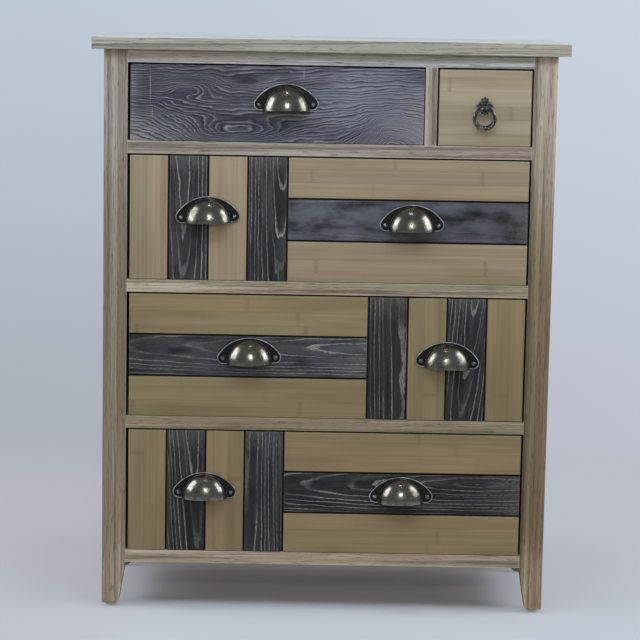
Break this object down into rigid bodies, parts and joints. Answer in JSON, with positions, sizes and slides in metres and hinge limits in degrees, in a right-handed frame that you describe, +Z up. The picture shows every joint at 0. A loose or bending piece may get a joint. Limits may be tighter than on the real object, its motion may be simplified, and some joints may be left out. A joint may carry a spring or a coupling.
{
  "type": "chest of drawers",
  "caption": "Small chest of drawers on tapered legs, with slatted two-tone fronts, cup pulls and a ring pull.",
  "frame": {"origin": "on the floor, under the middle of the whole object's box", "axes": "+Z up, +X to the right as seen from the front, -Y out of the drawer fronts"},
  "size_m": [0.6, 0.26, 0.734],
  "materials": {
    "frame_wood": "washed grey-tan pale wood with open grain, matt",
    "panel_wood": "washed grey-tan board, matt",
    "bamboo": "laminated caramel bamboo with nodes, satin",
    "dark_wood": "charcoal blue stain over raised grain with pale lines",
    "black_board": "flat black painted board",
    "box_wood": "bare planed softwood",
    "plywood": "thin bare plywood",
    "aged_brass": "antiqued brass, polished on the high spots",
    "dark_bronze": "blackened cast metal with worn edges",
    "screw_metal": "bronzed steel",
    "glide_plastic": "pale plastic"
  },
  "bodies": {
    "carcass": {"table_top": "frame_wood", "front_left_leg": "frame_wood", "front_right_leg": "frame_wood", "rear_left_leg": "frame_wood", "rear_right_leg": "frame_wood", "left_side_panel": "panel_wood", "right_side_panel": "panel_wood", "back_panel": "plywood", "top_front_rail": "frame_wood", "front_rail_1": "frame_wood", "front_rail_2": "frame_wood", "front_rail_3": "frame_wood", "bottom_front_rail": "frame_wood", "drawer_divider": "frame_wood", "top_partition": "box_wood", "partition_runner": "box_wood", "left_runners": "box_wood", "right_runners": "box_wood", "top_kickers": "box_wood", "rear_rails": "box_wood", "drawer_stops": "box_wood", "foot_glides": "glide_plastic"},
    "lower_drawer": {"lower_drawer_front_board": "black_board", "lower_drawer_bamboo_slats": "bamboo", "lower_drawer_dark_slats": "dark_wood", "lower_drawer_sides": "box_wood", "lower_drawer_back": "box_wood", "lower_drawer_bottom": "plywood", "lower_drawer_cup_pulls": "aged_brass", "lower_drawer_pull_screws": "screw_metal"},
    "middle_drawer": {"middle_drawer_front_board": "black_board", "middle_drawer_bamboo_slats": "bamboo", "middle_drawer_dark_slats": "dark_wood", "middle_drawer_sides": "box_wood", "middle_drawer_back": "box_wood", "middle_drawer_bottom": "plywood", "middle_drawer_cup_pulls": "aged_brass", "middle_drawer_pull_screws": "screw_metal"},
    "upper_drawer": {"upper_drawer_front_board": "black_board", "upper_drawer_bamboo_slats": "bamboo", "upper_drawer_dark_slats": "dark_wood", "upper_drawer_sides": "box_wood", "upper_drawer_back": "box_wood", "upper_drawer_bottom": "plywood", "upper_drawer_cup_pulls": "aged_brass", "upper_drawer_pull_screws": "screw_metal"},
    "wide_drawer": {"wide_drawer_front": "dark_wood", "wide_drawer_sides": "box_wood", "wide_drawer_back": "box_wood", "wide_drawer_bottom": "plywood", "wide_drawer_cup_pull": "aged_brass", "wide_drawer_pull_screws": "screw_metal"},
    "small_drawer": {"small_drawer_front": "bamboo", "small_drawer_sides": "box_wood", "small_drawer_back": "box_wood", "small_drawer_bottom": "plywood", "ring_rosette": "dark_bronze", "ring_eye": "dark_bronze", "eye_nut": "screw_metal"},
    "pull_ring": {"pull_ring": "dark_bronze"}
  },
  "joints": [
    {"name": "lower_drawer_slide", "type": "slide", "parent": "carcass", "child": "lower_drawer", "axis": [0, -1, 0], "range_m": [0, 0.16]},
    {"name": "middle_drawer_slide", "type": "slide", "parent": "carcass", "child": "middle_drawer", "axis": [0, -1, 0], "range_m": [0, 0.16]},
    {"name": "upper_drawer_slide", "type": "slide", "parent": "carcass", "child": "upper_drawer", "axis": [0, -1, 0], "range_m": [0, 0.16]},
    {"name": "wide_drawer_slide", "type": "slide", "parent": "carcass", "child": "wide_drawer", "axis": [0, -1, 0], "range_m": [0, 0.16]},
    {"name": "small_drawer_slide", "type": "slide", "parent": "carcass", "child": "small_drawer", "axis": [0, -1, 0], "range_m": [0, 0.16]},
    {"name": "pull_ring_hinge", "type": "hinge", "parent": "small_drawer", "child": "pull_ring", "pos_m": [0.1938, -0.116, 0.652], "axis": [-1, 0, 0], "range_deg": [0, 170]}
  ]
}
